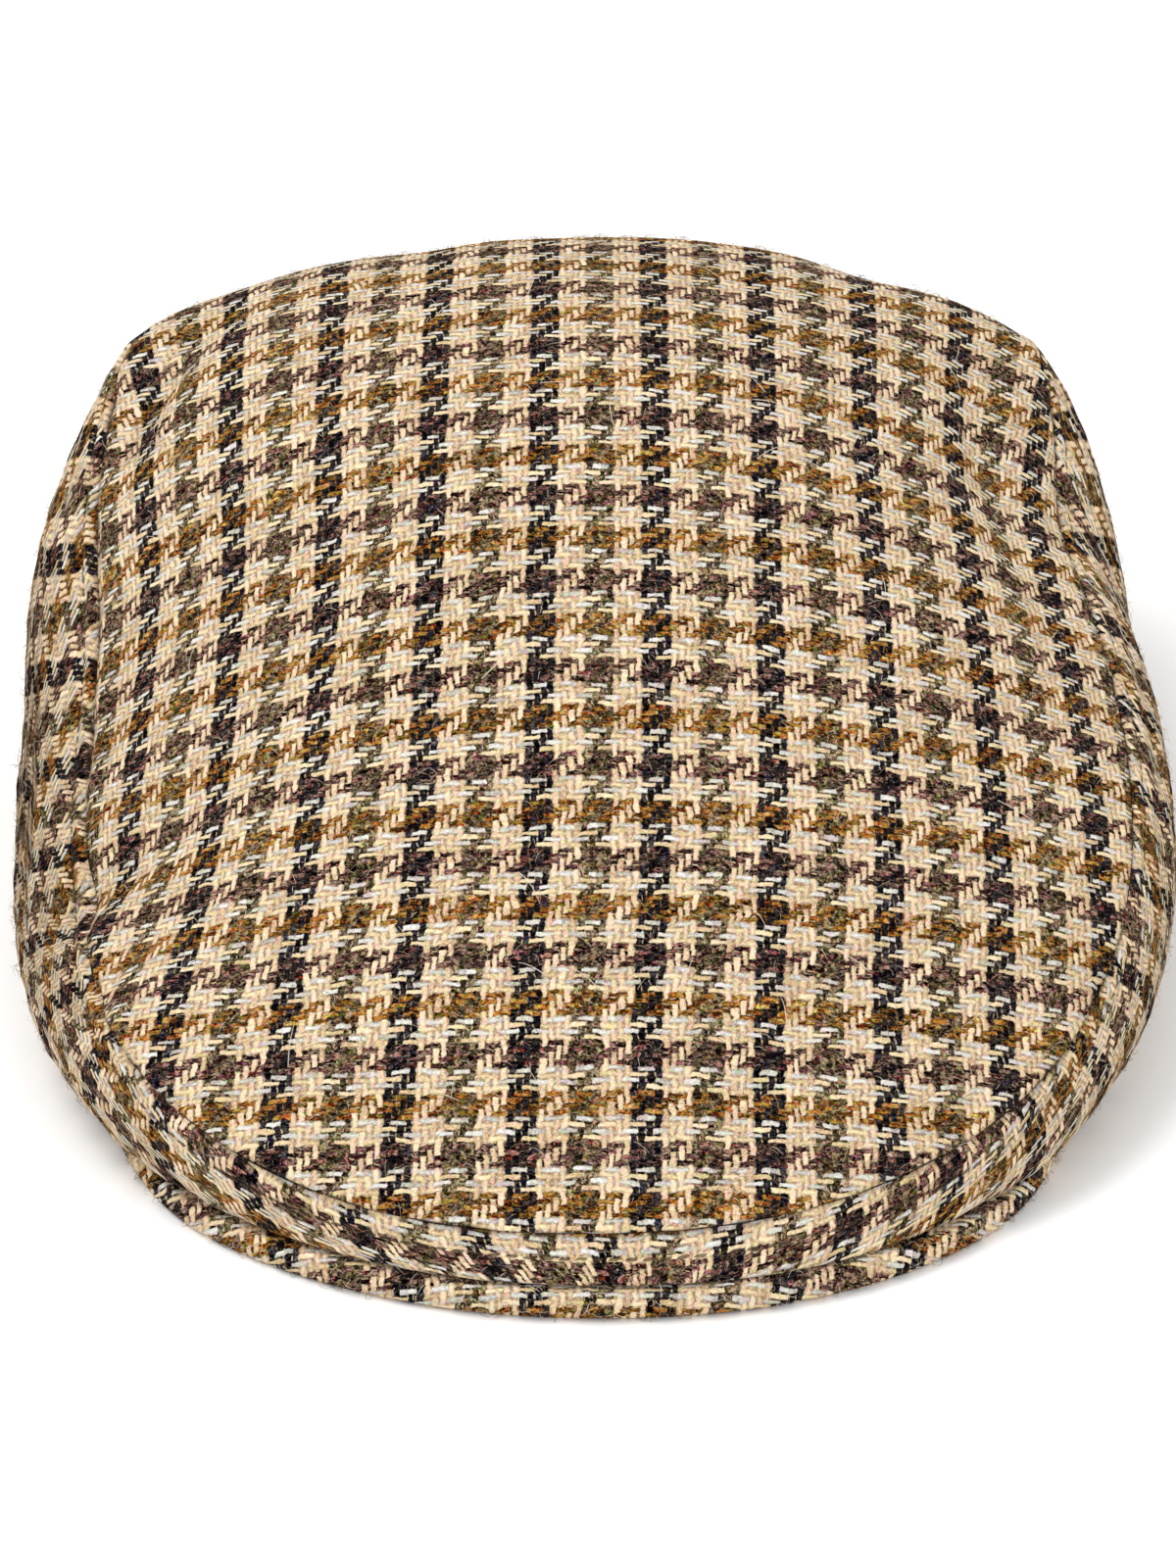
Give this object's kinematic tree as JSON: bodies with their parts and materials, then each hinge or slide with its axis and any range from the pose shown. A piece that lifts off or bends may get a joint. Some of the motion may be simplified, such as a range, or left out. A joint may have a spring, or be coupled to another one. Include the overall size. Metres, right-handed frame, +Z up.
{
  "type": "flat cap",
  "caption": "Flat cap of checked wool tweed: a one-piece top that slopes down to a short stiff peak, a cloth band all round below it, and an open hollow for the head.",
  "frame": {"origin": "middle of the cap's footprint, on the surface that its peak and rim stand on", "axes": "the peak points along -Y and the back of the cap along +Y, +X is to the right seen from the peak, and +Z is up"},
  "size_m": [0.2166, 0.2822, 0.0926],
  "materials": {
    "tweed": "matt woven wool with a soft nap"
  },
  "bodies": {
    "root": {"top_panel": "tweed", "side_band": "tweed", "peak": "tweed"}
  },
  "joints": []
}
